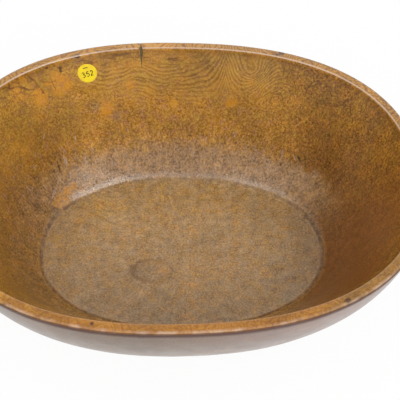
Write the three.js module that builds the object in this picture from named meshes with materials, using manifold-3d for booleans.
// Burl wood bowl: a deep oval bowl carved from one burl, the filler in a drying check of its
// far rim, and a round paper sticker on its far inner wall.
// Millimetres and degrees. X runs the long way of the bowl, Y to its far side and Z up.
// The origin is the middle of the flat base, on the surface that the bowl stands on.

import Module from 'manifold-3d';
import * as THREE from 'three';
import { ConvexGeometry } from 'three/addons/geometries/ConvexGeometry.js';
import { mergeVertices } from 'three/addons/utils/BufferGeometryUtils.js';

// Outside of the bowl
const BOWL_LENGTH = 422;
const BOWL_WIDTH = 323;
const BOWL_HEIGHT = 138;
const WALL_LEAN = 2.5; // from upright, just under the rim
const DRAW_IN_ENDS = 61; // how far the wall curves in by the base, at the two ends
const DRAW_IN_SIDES = 59; // the same, at the two long sides
const DRAW_IN_POWER = 2.15; // 2 is a parabola, and more keeps the curve for the lower wall
const BASE_EDGE_ROUND = 9;

// Wall, measured level, and floor
const RIM_LAND = 9; // the flat top of the wall, over its rounded edges
const WALL_AT_MIDDLE = 23;
const WALL_AT_FLOOR = 20;
const FLOOR_THICKNESS = 14;
const FLOOR_DISH = 1.5; // how much lower the middle of the floor lies than its edge
const RIM_OUTER_ROUND = 2;
const RIM_INNER_ROUND = 1.2;
const FLOOR_CREASE_ROUND = 9;

// Outline of the bowl, seen from above
const RIM_SQUARENESS = 2.38; // the power of a superellipse, where 2 is an ellipse
const BASE_SQUARENESS = 2.2;
const TAPER = 0.025; // how much the right end is narrower than the left one

// Filled drying check in the far rim
const CHECK_ANGLE = 101.4;
const CHECK_WIDTH_TOP = 4;
const CHECK_WIDTH_BOTTOM = 2.2;
const CHECK_WIDTH_BACK = 1.3;
const CHECK_HEIGHT = 9;
const CHECK_INTO_WALL = 4.5;
const CHECK_CLEARANCE = 0.3;

// Paper sticker on the far inner wall
const STICKER_DIAMETER = 19;
const STICKER_THICKNESS = 0.2;
const STICKER_CLEARANCE = 0.4;
const STICKER_ANGLE = 117.1;
const STICKER_BELOW_RIM = 17.4;

// Fineness of the meshes
const AROUND = 96;
const WALL_STEPS = 9;
const ROUND_STEPS = 2;
const CREASE_STEPS = 3;
const FLOOR_STEPS = 2;
const STICKER_AROUND = 24;
const STICKER_STEPS = 3;

// Finishes
const BURL_COLOUR = 0xa06c33;
const FILLER_COLOUR = 0x64634e;
const PAPER_COLOUR = 0xf2d81c;

// Sizes worked out from those above
const FULL_TURN = 2 * Math.PI;
const HALF_LENGTH = BOWL_LENGTH / 2;
const HALF_WIDTH = BOWL_WIDTH / 2;
const LEAN_SLOPE = Math.tan(THREE.MathUtils.degToRad(WALL_LEAN));
const INSIDE_DEPTH = BOWL_HEIGHT - FLOOR_THICKNESS;
const WALL_SWELL = 2 * WALL_AT_MIDDLE - (RIM_LAND + WALL_AT_FLOOR) / 2;

const wasm = await Module();
wasm.setup();

// Level sections of the bowl
// A section is a Vector3 of half its length, half its width and its height.

function outsideInset(height, drawIn) {
  const depth = BOWL_HEIGHT - height;
  return depth * LEAN_SLOPE + drawIn * (depth / BOWL_HEIGHT) ** DRAW_IN_POWER;
}

function wallThickness(height) {
  const share = (BOWL_HEIGHT - height) / INSIDE_DEPTH;
  const upper = THREE.MathUtils.lerp(RIM_LAND, WALL_SWELL, share);
  const lower = THREE.MathUtils.lerp(WALL_SWELL, WALL_AT_FLOOR, share);
  return THREE.MathUtils.lerp(upper, lower, share);
}

function narrower(section, inset) {
  return new THREE.Vector3(section.x - inset, section.y - inset, section.z);
}

function outside(height) {
  const halfLength = HALF_LENGTH - outsideInset(height, DRAW_IN_ENDS);
  const halfWidth = HALF_WIDTH - outsideInset(height, DRAW_IN_SIDES);
  return new THREE.Vector3(halfLength, halfWidth, height);
}

function inside(height) {
  return narrower(outside(height), wallThickness(height));
}

// The point of a section's outline at an angle: a superellipse, a little fuller at its left end
function outlinePoint(section, angle) {
  const along = Math.cos(angle);
  const across = Math.sin(angle);
  const power = THREE.MathUtils.lerp(BASE_SQUARENESS, RIM_SQUARENESS, section.z / BOWL_HEIGHT);
  const swell = (Math.abs(along) ** power + Math.abs(across) ** power) ** (-1 / power);
  const reach = swell * (1 - TAPER * along * across ** 2);
  return new THREE.Vector3(section.x * reach * along, section.y * reach * across, section.z);
}

// A rounded corner between two sections, which leaves out its first point
function roundedCorner(before, corner, after, steps) {
  const curve = new THREE.QuadraticBezierCurve3(before, corner, after);
  return curve.getPoints(steps).slice(1);
}

// Sections of a wall between two heights, which leave out the first one
function wallSections(sectionAt, fromHeight, toHeight) {
  const sections = [];
  for (let step = 1; step <= WALL_STEPS; step += 1) {
    sections.push(sectionAt(THREE.MathUtils.lerp(fromHeight, toHeight, step / WALL_STEPS)));
  }
  return sections;
}

// The floor from its crease towards its middle, which it reaches as one point
function floorSections(floorEdge) {
  const sections = [];
  for (let step = 1; step <= FLOOR_STEPS; step += 1) {
    const share = 1 - step / (FLOOR_STEPS + 1);
    const height = FLOOR_THICKNESS - FLOOR_DISH * (1 - share ** 2);
    sections.push(new THREE.Vector3(floorEdge.x * share, floorEdge.y * share, height));
  }
  return sections;
}

// All sections in turn: out over the base, up the outside, over the rim and down to the floor
function bowlSections() {
  const baseCorner = outside(0);
  const baseEdge = narrower(baseCorner, BASE_EDGE_ROUND);
  const baseTop = outside(BASE_EDGE_ROUND);
  const outerHeight = BOWL_HEIGHT - RIM_OUTER_ROUND;
  const rimOutside = outside(BOWL_HEIGHT);
  const landOutside = narrower(rimOutside, RIM_OUTER_ROUND);
  const rimInside = inside(BOWL_HEIGHT);
  const landInside = narrower(rimOutside, RIM_LAND - RIM_INNER_ROUND);
  const innerHeight = BOWL_HEIGHT - RIM_INNER_ROUND;
  const creaseHeight = FLOOR_THICKNESS + FLOOR_CREASE_ROUND;
  const creaseCorner = inside(FLOOR_THICKNESS);
  const floorEdge = narrower(creaseCorner, FLOOR_CREASE_ROUND);
  return [
    baseEdge,
    ...roundedCorner(baseEdge, baseCorner, baseTop, ROUND_STEPS),
    ...wallSections(outside, BASE_EDGE_ROUND, outerHeight),
    ...roundedCorner(outside(outerHeight), rimOutside, landOutside, ROUND_STEPS),
    landInside,
    ...roundedCorner(landInside, rimInside, inside(innerHeight), ROUND_STEPS),
    ...wallSections(inside, innerHeight, creaseHeight),
    ...roundedCorner(inside(creaseHeight), creaseCorner, floorEdge, CREASE_STEPS),
    ...floorSections(floorEdge),
  ];
}

// Mesh helpers

function indexedGeometry(positions, indices) {
  const geometry = new THREE.BufferGeometry();
  geometry.setAttribute('position', new THREE.Float32BufferAttribute(positions, 3));
  geometry.setIndex(indices);
  return geometry;
}

// Rings of equally many points, skinned in turn and closed by a point at each end
function loftRings(firstPoint, rings, lastPoint) {
  const around = rings[0].length;
  const positions = [...firstPoint.toArray()];
  for (const ring of rings) {
    for (const point of ring) {
      positions.push(...point.toArray());
    }
  }
  positions.push(...lastPoint.toArray());
  const last = positions.length / 3 - 1;
  const lastRing = (rings.length - 1) * around;
  const indices = [];
  for (let step = 0; step < around; step += 1) {
    const here = 1 + step;
    const next = 1 + ((step + 1) % around);
    indices.push(0, next, here);
    for (let ring = 0; ring < lastRing; ring += around) {
      indices.push(here + ring, next + ring, next + ring + around);
      indices.push(here + ring, next + ring + around, here + ring + around);
    }
    indices.push(here + lastRing, next + lastRing, last);
  }
  return indexedGeometry(positions, indices);
}

function solidFrom(geometry) {
  const bare = geometry.clone();
  bare.deleteAttribute('normal');
  bare.deleteAttribute('uv');
  const merged = mergeVertices(bare);
  const vertProperties = new Float32Array(merged.attributes.position.array);
  const triVerts = new Uint32Array(merged.index.array);
  return new wasm.Manifold(new wasm.Mesh({ numProp: 3, vertProperties, triVerts }));
}

function geometryFrom(solid) {
  const mesh = solid.getMesh();
  return indexedGeometry(mesh.vertProperties, [...mesh.triVerts]);
}

function namedMesh(name, geometry, colour, roughness) {
  const material = new THREE.MeshStandardMaterial({ color: colour, roughness, metalness: 0 });
  const mesh = new THREE.Mesh(geometry, material);
  mesh.name = name;
  return mesh;
}

// The bowl before its drying check is cut
function bowlBlank() {
  const rings = bowlSections().map((section) => {
    const ring = [];
    for (let step = 0; step < AROUND; step += 1) {
      ring.push(outlinePoint(section, (FULL_TURN * step) / AROUND));
    }
    return ring;
  });
  const baseMiddle = new THREE.Vector3(0, 0, 0);
  const floorMiddle = new THREE.Vector3(0, 0, FLOOR_THICKNESS - FLOOR_DISH);
  return solidFrom(loftRings(baseMiddle, rings, floorMiddle));
}

// Drying check: a wedge that is widest at the rim's inner edge and narrows down and into the wall
function checkWedge(clearance) {
  const angle = THREE.MathUtils.degToRad(CHECK_ANGLE);
  const smallTurn = 0.01;
  const top = outlinePoint(inside(BOWL_HEIGHT), angle);
  const foot = outlinePoint(inside(BOWL_HEIGHT - CHECK_HEIGHT), angle);
  const beside = outlinePoint(inside(BOWL_HEIGHT), angle + smallTurn);
  const sideways = beside.sub(top).normalize();
  const intoWall = new THREE.Vector3(sideways.y, -sideways.x, 0);
  const upWall = top.clone().sub(foot);
  const high = top.clone().addScaledVector(upWall, 0.5);
  const low = foot.clone().addScaledVector(upWall.clone().normalize(), clearance);
  const corners = [];
  const addPair = (level, into, width) => {
    for (const side of [-1, 1]) {
      const corner = level.clone().addScaledVector(intoWall, into);
      corners.push(corner.addScaledVector(sideways, side * (width / 2 - clearance)));
    }
  };
  const addLevel = (level, width) => {
    addPair(level, -CHECK_INTO_WALL, 2 * width - CHECK_WIDTH_BACK);
    addPair(level, CHECK_INTO_WALL - clearance, CHECK_WIDTH_BACK);
  };
  addLevel(high, CHECK_WIDTH_TOP);
  addLevel(low, CHECK_WIDTH_BOTTOM);
  return solidFrom(new ConvexGeometry(corners));
}

// Sticker: a thin disc bent to the wall, its back a clearance away from it
function stickerGeometry() {
  const middleAngle = THREE.MathUtils.degToRad(STICKER_ANGLE);
  const middleHeight = BOWL_HEIGHT - STICKER_BELOW_RIM;
  const smallTurn = 0.001;
  const smallRise = 0.1;
  const wallPoint = (angle, height) => outlinePoint(inside(height), angle);
  const turned = (angle, height) => {
    return wallPoint(angle + smallTurn, height).sub(wallPoint(angle, height));
  };
  const raised = (angle, height) => {
    return wallPoint(angle, height + smallRise).sub(wallPoint(angle, height));
  };
  const turnPerMm = smallTurn / turned(middleAngle, middleHeight).length();
  const risePerMm = smallRise / raised(middleAngle, middleHeight).length();
  const skinPoint = (radius, direction, lift) => {
    const angle = middleAngle + radius * Math.cos(direction) * turnPerMm;
    const height = middleHeight + radius * Math.sin(direction) * risePerMm;
    const intoBowl = raised(angle, height).cross(turned(angle, height)).normalize();
    return wallPoint(angle, height).addScaledVector(intoBowl, lift);
  };
  const skinRing = (radius, lift) => {
    const ring = [];
    for (let step = 0; step < STICKER_AROUND; step += 1) {
      ring.push(skinPoint(radius, (FULL_TURN * step) / STICKER_AROUND, lift));
    }
    return ring;
  };
  const frontLift = STICKER_CLEARANCE + STICKER_THICKNESS;
  const frontRings = [];
  const backRings = [];
  for (let step = 1; step <= STICKER_STEPS; step += 1) {
    const radius = (STICKER_DIAMETER * step) / (2 * STICKER_STEPS);
    frontRings.push(skinRing(radius, frontLift));
    backRings.unshift(skinRing(radius, STICKER_CLEARANCE));
  }
  const frontMiddle = skinPoint(0, 0, frontLift);
  const backMiddle = skinPoint(0, 0, STICKER_CLEARANCE);
  return loftRings(frontMiddle, [...frontRings, ...backRings], backMiddle);
}

const blank = bowlBlank();
const body = blank.subtract(checkWedge(0));
const fill = checkWedge(CHECK_CLEARANCE).intersect(blank);

const bowl = new THREE.Group();
bowl.add(namedMesh('bowl_body', geometryFrom(body), BURL_COLOUR, 0.45));
bowl.add(namedMesh('rim_check_fill', geometryFrom(fill), FILLER_COLOUR, 0.7));
bowl.add(namedMesh('lot_sticker', stickerGeometry(), PAPER_COLOUR, 0.8));

export default bowl;
